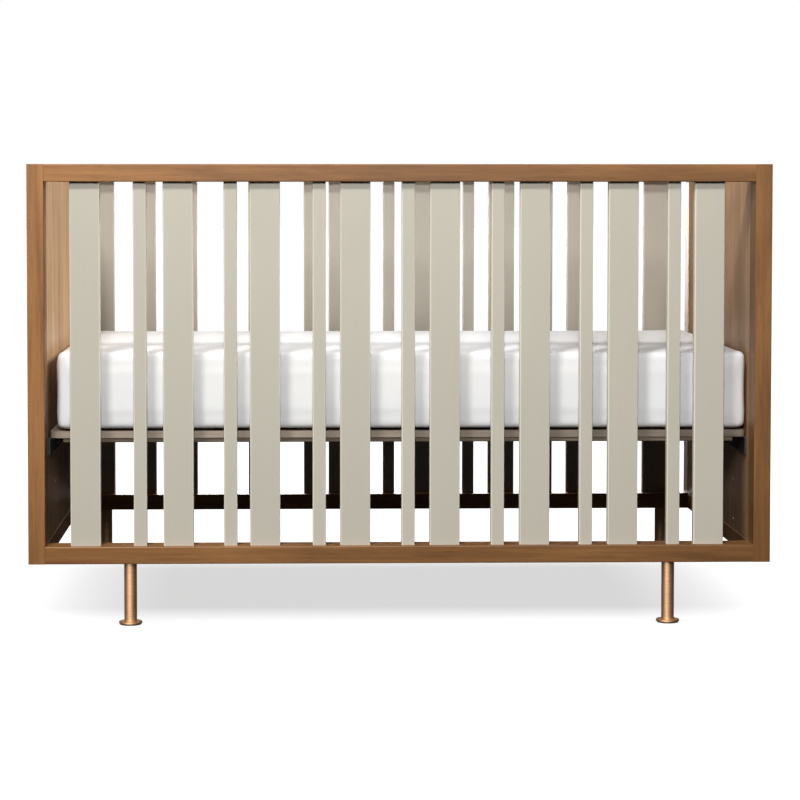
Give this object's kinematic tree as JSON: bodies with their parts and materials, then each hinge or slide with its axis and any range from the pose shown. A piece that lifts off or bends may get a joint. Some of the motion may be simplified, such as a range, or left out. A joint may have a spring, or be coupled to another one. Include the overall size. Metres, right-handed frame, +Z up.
{
  "type": "baby crib",
  "caption": "Baby crib: wooden post-and-rail frame with panelled ends and slatted long sides, a mattress on a height-adjustable support, and round brass-finished legs.",
  "frame": {"origin": "centre of the footprint, on the floor", "axes": "+X along the crib to its right end, -Y is the front long side, +Z up"},
  "size_m": [1.4, 0.82, 0.87],
  "materials": {
    "frame_wood": "satin lacquered medium brown wood",
    "panel_wood": "satin lacquered medium brown wood",
    "slat_paint": "satin warm grey paint on wood",
    "leg_brass": "brushed rose brass",
    "pad_felt": "pressed felt",
    "fastener_steel": "zinc plated",
    "dowel_wood": "raw beech",
    "board_wood": "matt taupe lacquer",
    "batten_wood": "matt dark stain",
    "bracket_paint": "matt dark powder coat",
    "mattress_sheet": "white cotton fitted sheet"
  },
  "bodies": {
    "frame": {"post_front_left": "frame_wood", "post_front_right": "frame_wood", "post_rear_left": "frame_wood", "post_rear_right": "frame_wood", "end_panel_left": "panel_wood", "end_panel_right": "panel_wood", "end_top_rail_left": "frame_wood", "end_top_rail_right": "frame_wood", "end_bottom_rail_left": "frame_wood", "end_bottom_rail_right": "frame_wood", "front_top_rail": "frame_wood", "front_bottom_rail": "frame_wood", "rear_top_rail": "frame_wood", "rear_bottom_rail": "frame_wood", "front_slat_01": "slat_paint", "front_slat_02": "slat_paint", "front_slat_03": "slat_paint", "front_slat_04": "slat_paint", "front_slat_05": "slat_paint", "front_slat_06": "slat_paint", "front_slat_07": "slat_paint", "front_slat_08": "slat_paint", "front_slat_09": "slat_paint", "front_slat_10": "slat_paint", "front_slat_11": "slat_paint", "front_slat_12": "slat_paint", "front_slat_13": "slat_paint", "front_slat_14": "slat_paint", "front_slat_15": "slat_paint", "rear_slat_01": "slat_paint", "rear_slat_02": "slat_paint", "rear_slat_03": "slat_paint", "rear_slat_04": "slat_paint", "rear_slat_05": "slat_paint", "rear_slat_06": "slat_paint", "rear_slat_07": "slat_paint", "rear_slat_08": "slat_paint", "rear_slat_09": "slat_paint", "rear_slat_10": "slat_paint", "rear_slat_11": "slat_paint", "rear_slat_12": "slat_paint", "rear_slat_13": "slat_paint", "rear_slat_14": "slat_paint", "rear_slat_15": "slat_paint", "leg_front_left": "leg_brass", "leg_front_right": "leg_brass", "leg_rear_left": "leg_brass", "leg_rear_right": "leg_brass", "floor_pads": "pad_felt", "frame_bolts": "fastener_steel", "barrel_nuts": "fastener_steel", "dowels": "dowel_wood", "height_inserts": "fastener_steel"},
    "support": {"support_board": "board_wood", "support_batten_front": "batten_wood", "support_batten_rear": "batten_wood", "support_bracket_left": "bracket_paint", "support_bracket_right": "bracket_paint", "support_bolts": "fastener_steel"},
    "mattress": {"mattress": "mattress_sheet"}
  },
  "joints": [
    {"name": "support_height", "type": "slide", "parent": "frame", "child": "support", "axis": [0, 0, 1], "range_m": [-0.156, 0.078]},
    {"name": "mattress_lift", "type": "slide", "parent": "support", "child": "mattress", "axis": [0, 0, 1], "range_m": [0, 0.52]}
  ]
}
